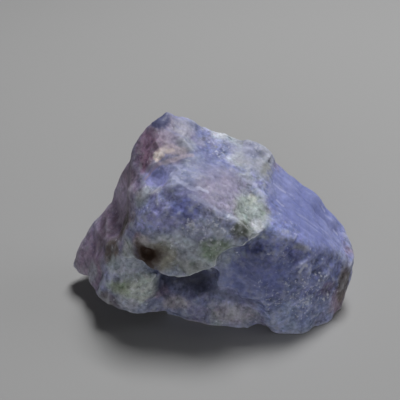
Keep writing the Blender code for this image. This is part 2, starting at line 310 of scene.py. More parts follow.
SEAMS = (
    Seam(((-13.4, -5.4, 33.4), (-11.8, -5.4, 34.6)), 0.6, Tone.PINK_GREY, 0.7),
    Seam(((-8.9, -3.8, 36.5), (-7.8, -3.3, 36.6)), 0.45, Tone.CREAM, 0.5),
    Seam(((-13.4, -7, 32.2), (-12, -6.3, 33.3), (-10.4, -5.5, 34.5)), 0.5, Tone.ROSE_GREY, 0.6),
    Seam(
        ((-10.4, -5.5, 34.5), (-8.5, -4.9, 35), (-5.5, -3.4, 35.2), (-4, -3.3, 35.3)), 0.45, Tone.BLUSH, 0.4
    ),
    # the ledge's rim: a pale chipped edge, with a painted highlight along it
    Seam(LEDGE_RIM[2:], 1, Tone.PALE_GREEN, 0.5),
    Seam(LEDGE_RIM[2:], 0.5, Tone.WHITE, 0.65),
    Seam(LEDGE_RIM[6:], 0.7, Tone.WHITE, 0.6),
    # painted highlight along the ridge of the right block
    Seam(((17, -15.4, 16.3), (18, -15, 16.8), (19, -14.3, 16)), 0.45, Tone.WHITE, 0.5),
    Seam(((17.4, -15.5, 15.3), (18.4, -15, 15.9)), 0.4, Tone.WHITE, 0.45),
    # painted shadow: a dark line under the lower edge of the blue lobe
    Seam(((-0.5, -12, 8.4), (2.1, -13, 7.7), (5.4, -14.2, 7.3), (7.6, -15, 7.2)), 1.1, Tone.INK, 0.6),
    # painted highlights: pale lines along the crests of the sloping top
    Seam(
        ((-8.2, -7.1, 33.3), (-6.9, -9.3, 33), (-4.4, -10.8, 32.1), (-3.2, -11.1, 31.8)),
        0.5, Tone.FROST, 0.42,
    ),
    Seam(
        ((-4.6, -12.2, 31.2), (-2.2, -12.9, 30.3), (0, -13.8, 29.5), (1.7, -14.6, 28.6)),
        0.5, Tone.FROST, 0.45,
    ),
    # painted highlight: the light edge where the front lump meets the dark-blue scoop
    Seam(((-12.8, -8.4, 30.8), (-13.7, -10, 29.7), (-14.9, -10.3, 27.6)), 0.6, Tone.GREY_GREEN, 0.45),
    # painted highlight: the light line where the right block's ridge runs up to the wing
    Seam(((16.4, -15.2, 16.1), (19.1, -14.2, 17.1), (22.3, -11.7, 17.4)), 0.5, Tone.LIGHT_VIOLET, 0.5),
)

# Painted glints: short pale streaks where cleavage faces catch the light, which are also made a little
# glossier
FLASHES = (
    Seam(((-3, -10.6, 31.9), (-1, -11.1, 31.4)), 0.4, Tone.GLINT, 0.5),
    Seam(((6.7, -4.4, 30.2), (8.8, -5, 29.4)), 0.4, Tone.GLINT, 0.5),
    Seam(((12.4, -1.2, 27.3), (15.5, -0.6, 25.2)), 0.38, Tone.GLINT, 0.3),
    Seam(((13.2, -5, 25.8), (14.6, -5.4, 24.9)), 0.38, Tone.GLINT, 0.3),
    Seam(((23.7, 3.2, 19.4), (24.7, 2.8, 18.6)), 0.38, Tone.GLINT, 0.3),
    Seam(((26.7, 0, 15.3), (27.9, -0.3, 14.6)), 0.38, Tone.GLINT, 0.3),
)

# Even faces: middle, reach and how even
CALM_FACES = (
    ((22, 1, 22), (13.5, 13, 9.5), 1),
    ((-21, -1, 19), (8, 8, 17), 0.5),
    ((-1, -7, 33), (8, 7, 5), 0.7),
    ((-11, -6.8, 32.2), (2.6, 2.4, 2), 0.8),
    ((8, -16, 14.5), (8, 4, 5), 0.5),
    ((9.5, 3, 32), (5.5, 6, 5), 0.75),
    ((-8, 0, 38.5), (7, 6, 5), 0.7),
)

# Faces with many white specks: middle, reach and how many
SPECKLED_FACES = (
    ((20, -14, 9.5), (6, 4, 6), 1),
    ((12, -16.4, 9.5), (7, 3, 4), 0.6),
    ((-1, -15.5, 25), (7, 3, 3), 0.8),
    ((-15.5, -14, 9.5), (4, 3, 4), 0.7),
    ((5, 2, 34), (7, 5, 3), 0.35),
)

# Where edges and hollows are worn round: middle and radius
WORN = (
    ((-14.6, -11.4, 14), 4),
    ((10.8, -14.2, 2.5), 4),
    ((18.5, -13.6, 19.8), 3.5),
    ((13, -13.8, 21.8), 4.5),
    ((9.4, -15.6, 14.4), 4),
    ((14.5, -15.2, 15.4), 3.5),
    ((-8.4, -14, 11), 4),
    ((23, -11.5, 17), 4.5),
    ((26.8, -8.8, 13.6), 5),
    ((-19.5, 1.5, 27.5), 6),
    ((13.2, 0, 28.2), 4.5),
    ((-12.6, 0, 38.6), 3),
    ((-3.4, -5, 34.8), 3),
    ((-6.8, -3.2, 36.2), 2.4),
    ((-5.5, -12.2, 31), 3),
    ((-1.5, -12.8, 30.4), 3),
    ((2.3, -13.2, 29), 2.6),
    ((-12.6, -3.6, 35.6), 2.6),
    ((12.6, -4.6, 27.4), 2.6),
    ((-30.6, 0.5, 5), 1.6),
)

# Where the skin stands out or is worn in: middle, radius and height
SWELLS = (
    ((13, -13.2, 20), 4.5, 1.1),
    ((11.2, -14.2, 17), 5.5, 1),
    ((7.5, -13.4, 25.8), 3.5, -0.8),
    ((10.4, 4.2, 32.6), 1.7, 0.7),
    ((-12.2, 1.4, 40.2), 3, 0.4),
    ((12.2, 3.4, 31.6), 1.6, 0.4),
    ((7.6, 5.4, 34), 1.5, 0.5),
    ((23, 3.6, 20.9), 4.8, 1.2),
    ((26.8, 1.6, 16.4), 3, 0.5),
    ((-16.4, -6.5, 28.8), 2.4, 0.5),
    ((-29.8, 0.8, 7), 5.5, 0.85),
    ((-28.4, 1.6, 10.4), 5, 1),
    ((-26.8, 1.8, 13.2), 5, 0.7),
    ((-16.7, -9.4, 26), 2.4, -0.5),
)


class Grain:
    """Which way the stone splits."""

    along = Vector((0.85, -0.17, -0.5)).normalized()
    across = Vector((0.26, 0.95, 0.13)).normalized()
    through = along.cross(across)


class Wiring:
    """Adds nodes to one node tree and joins them up."""

    def __init__(self, tree: bpy.types.NodeTree) -> None:
        """Starts on an empty tree.

        Args:
            tree: the material's or the group's node tree.
        """
        self.tree = tree
        tree.nodes.clear()

    def feed(self, socket: Socket, value: Value) -> None:
        """Joins a socket to another one, or sets it.

        Args:
            socket: the input to feed.
            value: an output socket, a number or a list of numbers.
        """
        if isinstance(value, bpy.types.NodeSocket):
            self.tree.links.new(value, socket)
        else:
            socket.default_value = value

    def add(self, kind: str, inputs: dict[int | str, Value], **settings: object) -> bpy.types.Node:
        """Adds a node.

        Args:
            kind: the node's type.
            inputs: what feeds each of its inputs.
            **settings: its own settings, which are made before its inputs are fed.

        Returns:
            The new node.
        """
        node = self.tree.nodes.new(kind)
        for name, value in settings.items():
            setattr(node, name, value)
        for key, value in inputs.items():
            self.feed(node.inputs[key], value)
        return node

    def group(self, tree: bpy.types.NodeTree, **inputs: Value) -> bpy.types.Node:
        """Places a shared group, fed by the names of its inputs, and returns its node."""
        return self.add("ShaderNodeGroup", inputs, node_tree=tree)

    def number(self, operation: str, first: Value, *others: Value, clamp: bool = False) -> Value:
        """Adds a Math node for each further value, one after another.

        Args:
            operation: what each of them does.
            first: the first value.
            *others: the values that follow.
            clamp: whether each result is kept from 0 to 1.

        Returns:
            The last result's socket, or the first value where no other follows.
        """
        for other in others:
            node = self.add("ShaderNodeMath", {0: first, 1: other}, operation=operation, use_clamp=clamp)
            first = node.outputs[0]
        return first

    def times(self, *values: Value) -> Value:
        """Returns the product of some values."""
        return self.number("MULTIPLY", *values)

    def plus(self, *values: Value) -> Value:
        """Returns the sum of some values."""
        return self.number("ADD", *values)

    def less(self, value: Value, taken: Value) -> Value:
        """Returns a value less another one."""
        return self.number("SUBTRACT", value, taken)

    def vector(self, operation: str, *values: Value) -> Socket:
        """Adds a Vector Math node and returns its result, a number for DOT_PRODUCT and LENGTH."""
        node = self.add("ShaderNodeVectorMath", dict(enumerate(values)), operation=operation)
        return node.outputs[1 if operation in ("DOT_PRODUCT", "LENGTH") else 0]

    def scaled(self, vector: Value, factor: Value) -> Socket:
        """Returns a vector times a number."""
        return self.add("ShaderNodeVectorMath", {0: vector, "Scale": factor}, operation="SCALE").outputs[0]

    def ramp(self, value: Value, start: Value, full: Value) -> Socket:
        """Returns a share that goes smoothly from 0 to 1 as a value goes from start to full."""
        inputs = {0: value, 1: start, 2: full, 3: 0.0, 4: 1.0}
        return self.add("ShaderNodeMapRange", inputs, interpolation_type="SMOOTHSTEP").outputs[0]

    def noise(self, place: Value, texture: Texture) -> bpy.types.Node:
        """Adds a noise and returns its node.

        Args:
            place: where it is read.
            texture: its size and its character.

        Returns:
            The node, whose first output is a number and whose second is a vector.
        """
        inputs = {
            "Vector": place, "Scale": 1 / texture.size, "Detail": texture.detail, "Roughness": texture.rough,
        }
        return self.add("ShaderNodeTexNoise", inputs, noise_dimensions="3D")

    def mix(self, share: Value, first: Value, second: Value, blend: str = "MIX") -> Socket:
        """Mixes two colours.

        Args:
            share: how much of the second, from 0 to 1.
            first: the colour below.
            second: the colour laid over it.
            blend: how it is laid.

        Returns:
            The mixed colour's socket.
        """
        node = self.add(
            "ShaderNodeMix", {0: share, 6: first, 7: second}, data_type="RGBA", blend_type=blend
        )
        return node.outputs[2]


@dataclass
class Effects:
    """The node groups that the finish is laid with, each built once."""

    vectors: tuple[str, ...] = ("Place", "Facing", "Centre", "Reach", "Start", "End", "Tint")
    bends: tuple[tuple[str, Texture], ...] = (("Wide", Texture(6.0)), ("Fine", Texture(1.5)))
    depth_ignored: float = 0.8
    seam_edge: tuple[float, float] = (1.25, 0.45)
    streak_squeeze: float = 0.1
    streak_texture: Texture = Texture(1.0, 3.0, 0.6)
    light_streaks: tuple[float, float] = (0.54, 0.74)
    dark_streaks: tuple[float, float] = (0.46, 0.27)
    grain_dome: float = 0.3

    def __post_init__(self) -> None:
        """Builds every group."""
        self.drift = self._drift()
        self.cloud = self._cloud()
        self.seam = self._seam()
        self.streaks = self._streaks()
        self.sugar = self._sugar()

    def _open(
        self, name: str, inputs: Sequence[str], outputs: Sequence[str]
    ) -> tuple[Wiring, Sockets, Sockets]:
        """Starts a group, whose sockets carry a vector or a number by their names.

        Args:
            name: the group's name.
            inputs: the names of its inputs.
            outputs: the names of its outputs.

        Returns:
            Its wiring, the sockets that come into it and those that it puts out.
        """
        group = bpy.data.node_groups.new(name, "ShaderNodeTree")
        for way, labels in (("INPUT", inputs), ("OUTPUT", outputs)):
            for label in labels:
                kind = "NodeSocketVector" if label in self.vectors else "NodeSocketFloat"
                group.interface.new_socket(name=label, in_out=way, socket_type=kind)
        wiring = Wiring(group)
        return wiring, wiring.add("NodeGroupInput", {}).outputs, wiring.add("NodeGroupOutput", {}).inputs

    def _drift(self) -> bpy.types.NodeTree:
        """Makes the group that bends places, so that no patch has a ruled edge.

        Returns:
            The group.
        """
        wiring, given, made = self._open("Drift", ("Place", "Wide", "Fine"), ("Place",))
        place = given["Place"]
        for amount, texture in self.bends:
            wander = wiring.vector("SUBTRACT", wiring.noise(given["Place"], texture).outputs[1], HALVES)
            place = wiring.vector("ADD", place, wiring.scaled(wander, given[amount]))
        wiring.feed(made["Place"], place)
        return wiring.tree

    def _cloud(self) -> bpy.types.NodeTree:
        """Makes the group that masks a soft-edged patch.

        Returns:
            The group.
        """
        wiring, given, made = self._open(
            "Cloud", ("Place", "Fray", "Centre", "Reach", "Softness", "Share"), ("Mask",)
        )
        away = wiring.vector("SUBTRACT", given["Place"], given["Centre"])
        far = wiring.vector("LENGTH", wiring.vector("DIVIDE", away, given["Reach"]))
        far = wiring.plus(far, given["Fray"])
        mask = wiring.ramp(far, wiring.plus(1.0, given["Softness"]), wiring.less(1.0, given["Softness"]))
        wiring.feed(made["Mask"], wiring.times(mask, given["Share"]))
        return wiring.tree

    def _seam(self) -> bpy.types.NodeTree:
        """Makes the group that masks a thin line between two points.

        Returns:
            The group.
        """
        wiring, given, made = self._open(
            "Seam", ("Place", "Facing", "Fray", "Start", "End", "Width", "Share"), ("Mask",)
        )
        way = wiring.vector("SUBTRACT", given["End"], given["Start"])
        away = wiring.vector("SUBTRACT", given["Place"], given["Start"])
        reached, length = (wiring.vector("DOT_PRODUCT", part, way) for part in (away, way))
        along = wiring.number("DIVIDE", reached, length, clamp=True)
        step = wiring.vector("SUBTRACT", away, wiring.scaled(way, along))
        deep = wiring.times(wiring.vector("DOT_PRODUCT", step, given["Facing"]), self.depth_ignored)
        level = wiring.vector("SUBTRACT", step, wiring.scaled(given["Facing"], deep))
        far = wiring.number("DIVIDE", wiring.vector("LENGTH", level), given["Width"])
        mask = wiring.ramp(wiring.plus(far, given["Fray"]), *self.seam_edge)
        wiring.feed(made["Mask"], wiring.times(mask, given["Share"]))
        return wiring.tree

    def _streaks(self) -> bpy.types.NodeTree:
        """Makes the group that draws long streaks along the stone's cleavage.

        Returns:
            The group.
        """
        wiring, given, made = self._open("Streaks", ("Place", "Fineness"), ("Light", "Dark"))
        axes = (Grain.along * self.streak_squeeze, Grain.across, Grain.through)
        parts = [wiring.vector("DOT_PRODUCT", given["Place"], tuple(axis)) for axis in axes]
        laid = wiring.add("ShaderNodeCombineXYZ", dict(enumerate(parts))).outputs[0]
        laid = wiring.scaled(laid, given["Fineness"])
        value = wiring.noise(laid, self.streak_texture).outputs[0]
        wiring.feed(made["Light"], wiring.ramp(value, *self.light_streaks))
        wiring.feed(made["Dark"], wiring.ramp(value, *self.dark_streaks))
        return wiring.tree

    def _sugar(self) -> bpy.types.NodeTree:
        """Makes the group that gives each crystal grain its own shade, tint and height.

        Returns:
            The group.
        """
        wiring, given, made = self._open("Sugar grain", ("Place", "Grain"), ("Shade", "Tint", "Height"))
        fineness = wiring.number("DIVIDE", 1.0, given["Grain"])
        inputs = {"Vector": given["Place"], "Scale": fineness, "Randomness": 1.0}
        cells = wiring.add("ShaderNodeTexVoronoi", inputs).outputs
        parts = wiring.add("ShaderNodeSeparateXYZ", {0: cells["Color"]}).outputs
        tint = wiring.vector("SUBTRACT", cells["Color"], HALVES)
        offset = wiring.vector("SUBTRACT", given["Place"], cells["Position"])
        lean = wiring.vector("DOT_PRODUCT", tint, offset)
        wiring.feed(made["Shade"], wiring.less(parts[0], HALF))
        wiring.feed(made["Tint"], tint)
        wiring.feed(made["Height"], wiring.less(lean, wiring.times(cells["Distance"], self.grain_dome)))
        return wiring.tree


@dataclass(frozen=True)
class StoneFinish:
    """The colours and the sheen of the broken stone."""

    fields: tuple[Field, ...] = FIELDS
    clouds: tuple[Cloud, ...] = CLOUDS
    stains_and_shade: tuple[Cloud, ...] = STAINS_AND_SHADE
    seams: tuple[Seam, ...] = SEAMS
    flashes: tuple[Seam, ...] = FLASHES
    calm_faces: tuple[Face, ...] = CALM_FACES
    speckled_faces: tuple[Face, ...] = SPECKLED_FACES
    face_softness: float = 0.25
    calm: float = 0.72

    wide_drift: float = 1.8
    fine_drift: float = 0.9
    ragged: Texture = Texture(0.7, 3.0, 0.6)
    fray: float = 0.5
    flash_fray: float = 4.0

    ground: Texture = Texture(13.0)
    ground_edge: tuple[float, float] = (0.42, 0.6)
    grain_sizes: tuple[float, float] = (1.1, 0.5)
    grain_shades: tuple[float, float] = (0.24, 0.26)
    grain_tint: float = 0.07
    mottles: tuple[tuple[Texture, float], ...] = (
        (Texture(2.6, 4.0, 0.62), 1.3),
        (Texture(0.8, 2.0, 0.6), 1.6),
    )
    streak_fineness: float = 0.9
    light_streaks: float = 0.32
    dark_streaks: float = 0.4
    ridges: float = 0.3
    # how strongly the clefts are darkened: painted shade
    clefts: float = 0.35

    bloom: Texture = Texture(1.7, 3.0, 0.65)
    bloom_shift: Triple = (17.0, 5.0, 9.0)
    bloom_specks: Scatter = Scatter(0.52, 0.72, 0.45, Tone.ASH)
    specks: Texture = Texture(0.65, 2.0, 0.6)
    clusters: Texture = Texture(4.0)
    clustering: float = 0.4
    speckling: float = 0.1
    # white grains of the stone, partly painted sparkle
    white_specks: Scatter = Scatter(0.67, 0.76, 0.55, Tone.WHITE)
    dark_specks: Scatter = Scatter(0.3, 0.22, 0.5, Tone.INK)

    roughness: float = 0.62
    grain_roughness: float = 0.3
    flash_gloss: float = 0.15
    relief: float = 0.5
    bump: float = 0.6
    bump_mm: float = 0.25
    refraction: float = 1.49
    haze: float = 0.12
    haze_tone: Triple = (0.8, 0.85, 1.0)
    haze_mm: float = 0.9


class Painter:
    """Lays a finish on a new material, each layer over the ones before it."""

    def __init__(self, finish: StoneFinish, effects: Effects) -> None:
        """Starts the material with the places, the grain and the masks that its layers share.

        Args:
            finish: the finish.
            effects: the shared groups.
        """
        self.finish = finish
        self.effects = effects
        self.material = bpy.data.materials.new("broken hackmanite")
        self.material.use_nodes = True
        self.wiring = wiring = Wiring(self.material.node_tree)
        where = wiring.add("ShaderNodeTexCoord", {})
        self.facing = where.outputs["Normal"]
        self.place = wiring.scaled(where.outputs["Object"], 1 / MM)
        drift = wiring.group(effects.drift, Place=self.place, Wide=finish.wide_drift, Fine=finish.fine_drift)
        self.drifted = drift.outputs[0]
        self.speckle = self.spots(finish.ragged)
        self.fray = wiring.times(wiring.less(self.speckle, HALF), finish.fray)
        self.calm = self.over(finish.calm_faces)
        self.lively = wiring.less(1.0, wiring.times(self.calm, finish.calm))
        self.coarse, self.fine = (
            wiring.group(effects.sugar, Place=self.place, Grain=size) for size in finish.grain_sizes
        )
        self.colour: Value = Tone.SLATE.linear()
        self.shine: Value = 0.0

    def spots(self, texture: Texture) -> Socket:
        """Returns the value of a noise at each place of the surface."""
        return self.wiring.noise(self.place, texture).outputs[0]

    def patch(self, centre: Triple, reach: Triple, softness: float, share: float) -> Socket:
        """Masks one patch.

        Args:
            centre: its middle.
            reach: how far it reaches along each axis.
            softness: how wide its edge is, as a share of its reach.
            share: how strong it is in the middle.

        Returns:
            The mask's socket.
        """
        node = self.wiring.group(
            self.effects.cloud, Place=self.drifted, Fray=self.fray, Centre=centre, Reach=reach,
            Softness=softness, Share=share,
        )
        return node.outputs[0]

    def over(self, faces: tuple[Face, ...]) -> Value:
        """Masks some faces of the stone.

        Args:
            faces: the middle, the reach and the share of each.

        Returns:
            The mask's socket.
        """
        softness = self.finish.face_softness
        patches = (self.patch(centre, reach, softness, share) for centre, reach, share in faces)
        return self.wiring.number("MAXIMUM", 0.0, *patches)

    def line(self, seam: Seam, fray: Value) -> Value:
        """Masks one seam.

        Args:
            seam: the seam.
            fray: how ragged its edge is at each place.

        Returns:
            The mask's socket.
        """
        parts = [
            self.wiring.group(
                self.effects.seam, Place=self.place, Facing=self.facing, Fray=fray, Start=start, End=end,
                Width=seam.width, Share=seam.share,
            ).outputs[0]
            for start, end in zip(seam.points, seam.points[1:])
        ]
        return self.wiring.number("MAXIMUM", *parts)

    def cover(self, mask: Value, tone: Tone, blend: str = "MIX") -> None:
        """Lays a tone over the colour so far.

        Args:
            mask: how much of it shows at each place.
            tone: the tone.
            blend: how it is laid.
        """
        self.colour = self.wiring.mix(mask, self.colour, tone.linear(), blend)

    def scatter(self, spots: Value, specks: Scatter) -> None:
        """Lays specks over the colour so far, fewer on the even faces.

        Args:
            spots: the noise that they follow.
            specks: how they follow it.
        """
        mask = self.wiring.ramp(spots, specks.start, specks.full)
        self.cover(self.wiring.times(mask, self.wiring.times(self.lively, specks.share)), specks.tone)

    def lay_ground(self) -> None:
        """Lays the ground of slate and lilac, with wide fields of other tones."""
        wiring = self.wiring
        wide = wiring.noise(self.drifted, self.finish.ground).outputs[0]
        self.cover(wiring.ramp(wide, *self.finish.ground_edge), Tone.LILAC)
        for field in self.finish.fields:
            moved = wiring.vector("ADD", self.drifted, field.shift)
            spots = wiring.noise(moved, Texture(field.size)).outputs[0]
            self.cover(wiring.ramp(spots, field.low, field.high), field.tone)

    def lay_clouds(self, clouds: tuple[Cloud, ...]) -> None:
        """Lays soft patches over the colour so far.

        Args:
            clouds: the patches, the lowest first.
        """
        for cloud in clouds:
            self.cover(self.patch(cloud.centre, cloud.reach, cloud.softness, cloud.share), cloud.tone)

    def shade_grains(self) -> None:
        """Makes the colour lighter and darker by the grain and the mottles, least on the even faces."""
        wiring, finish = self.wiring, self.finish
        grains = zip((self.coarse, self.fine), finish.grain_shades)
        shades = [wiring.times(node.outputs["Shade"], depth) for node, depth in grains]
        for texture, depth in finish.mottles:
            shades.append(wiring.times(wiring.less(self.spots(texture), HALF), depth))
        shade = wiring.plus(1.0, wiring.times(wiring.plus(*shades), self.lively))
        grey = wiring.add("ShaderNodeCombineXYZ", {0: shade, 1: shade, 2: shade}).outputs[0]
        self.colour = wiring.mix(1.0, self.colour, grey, "MULTIPLY")
        tint = wiring.scaled(self.coarse.outputs["Tint"], finish.grain_tint)
        tinted = wiring.mix(1.0, self.colour, wiring.vector("ADD", tint, (1.0, 1.0, 1.0)), "MULTIPLY")
        self.colour = wiring.mix(self.lively, self.colour, tinted)

    def draw_streaks(self) -> None:
        """Draws the cleavage on the even faces."""
        wiring, finish = self.wiring, self.finish
        streaks = wiring.group(self.effects.streaks, Place=self.place, Fineness=finish.streak_fineness)
        light, dark = streaks.outputs["Light"], streaks.outputs["Dark"]
        self.cover(wiring.times(light, self.calm, finish.light_streaks), Tone.FROST)
        self.cover(wiring.times(dark, self.calm, finish.dark_streaks), Tone.DEEP_BLUE)

    def pale_ridges_shade_clefts(self) -> None:
        """Pales the ridges and paints shade into the clefts, which the mesh marks."""
        wiring, finish = self.wiring, self.finish
        ridge, cleft = (
            wiring.add("ShaderNodeAttribute", {}, attribute_name=name).outputs["Fac"]
            for name in ("ridge", "cleft")
        )
        self.cover(wiring.times(ridge, self.lively, finish.ridges), Tone.WHITE)
        # painted shade: the clefts darkened with ink blue, as if shaded
        self.cover(wiring.times(cleft, finish.clefts), Tone.INK, "MULTIPLY")

    def scatter_specks(self) -> None:
        """Scatters a pale bloom, then white and dark specks that gather in clusters and on some faces."""
        wiring, finish = self.wiring, self.finish
        moved = wiring.vector("ADD", self.place, finish.bloom_shift)
        self.scatter(wiring.noise(moved, finish.bloom).outputs[0], finish.bloom_specks)
        cluster = wiring.less(self.spots(finish.clusters), HALF)
        spots = wiring.plus(
            self.spots(finish.specks),
            wiring.times(cluster, finish.clustering),
            wiring.times(self.over(finish.speckled_faces), finish.speckling),
        )
        self.scatter(spots, finish.white_specks)
        self.scatter(spots, finish.dark_specks)

    def draw_lines(self) -> None:
        """Draws the seams, some of them painted highlights and shadow, and the flashes, which are painted
        glints, and marks where the glints shine.
        """
        for seam in self.finish.seams:
            self.cover(self.line(seam, self.fray), seam.tone)
        fray = self.wiring.times(self.fray, self.finish.flash_fray)
        for flash in self.finish.flashes:
            mask = self.line(flash, fray)
            self.cover(mask, flash.tone)
            self.shine = self.wiring.number("MAXIMUM", self.shine, mask)

    def fit_surface(self) -> None:
        """Joins the colour, the gloss and the relief to the shader."""
        wiring, finish = self.wiring, self.finish
        grain = wiring.times(self.fine.outputs["Shade"], finish.grain_roughness)
        gloss = wiring.times(self.shine, finish.flash_gloss)
        rough = wiring.number("SUBTRACT", wiring.plus(finish.roughness, grain), gloss, clamp=True)
        heights = (self.coarse.outputs["Height"], self.fine.outputs["Height"], self.speckle)
        height = wiring.plus(*(wiring.times(part, finish.relief) for part in heights))
        height = wiring.times(height, self.lively)
        inputs = {"Strength": finish.bump, "Distance": finish.bump_mm * MM, "Height": height}
        bump = wiring.add("ShaderNodeBump", inputs).outputs[0]
        inputs = {
            "Base Color": self.colour, "Roughness": rough, "Normal": bump, "IOR": finish.refraction,
            "Subsurface Weight": finish.haze, "Subsurface Radius": finish.haze_tone,
            "Subsurface Scale": finish.haze_mm * MM,
        }
        surface = wiring.add("ShaderNodeBsdfPrincipled", inputs)
        wiring.add("ShaderNodeOutputMaterial", {"Surface": surface.outputs[0]})

    def paint(self) -> bpy.types.Material:
        """Lays every layer, the lowest first.

        Returns:
            The finished material.
        """
        self.lay_ground()
        self.lay_clouds(self.finish.clouds)
        self.shade_grains()
        self.draw_streaks()
        self.pale_ridges_shade_clefts()
        self.scatter_specks()
        self.lay_clouds(self.finish.stains_and_shade)
        self.draw_lines()
        self.fit_surface()
        return self.material


def rise(value: float, start: float, span: float) -> float:
    """Returns 0 before start, 1 a span after it, and an even slope between them."""
    return min(max((value - start) / span, 0), 1)


def inside(at: Vector, middle: Triple, radius: float) -> float:
    """Returns 1 at the middle of a ball, 0 at its radius and less outside it."""
    return 1 - (at - Vector(middle)).length_squared / radius**2


@dataclass(frozen=True)
class Wear:
    """Where the skin is smoother than elsewhere, and at the crust rougher."""

    wing_from: float = 10.0
    wing_blend: float = 2.5
    slope_from: float = -6.0
    slope_below: float = 38.0
    left_before: float = -12.0
    blend: float = 3.0
    upward: float = 0.3
    leftward: float = 0.2
    turn: float = 0.3
    crust: Spot = ((9, 2, 31), 7)
    block: Spot = ((8, -16, 14.5), 8)
    wing_evenness: float = 0.75
    evenness: float = 0.5
    crust_roughness: float = 0.3
    wing_streaks: float = 0.5

    def near(self, at: Vector, spot: Spot) -> float:
        """Returns 1 at the middle of a spot and 0 from its radius on."""
        return max(0.0, 1 - (at - Vector(spot[0])).length / spot[1])

    def roughness_at(self, at: Vector, normal: Vector) -> tuple[float, float]:
        """How rough the skin is at a place, and how streaked.

        Args:
            at: the place.
            normal: which way the skin faces there.

        Returns:
            Both as shares from 0 to about 1.5.
        """
        upward = rise(normal.z, self.upward, self.turn)
        wing = rise(at.x, self.wing_from, self.wing_blend) * upward
        slope = rise(at.x, self.slope_from, self.blend) * rise(-at.z, -self.slope_below, self.blend)
        slope = slope * upward * (1 - wing)
        left = rise(-at.x, -self.left_before, self.blend) * rise(-normal.x, self.leftward, self.turn)
        rough = 1 - self.wing_evenness * wing
        for face in (slope, left, self.near(at, self.block)):
            rough -= self.evenness * face
        return rough + self.crust_roughness * self.near(at, self.crust), max(wing * self.wing_streaks, slope)


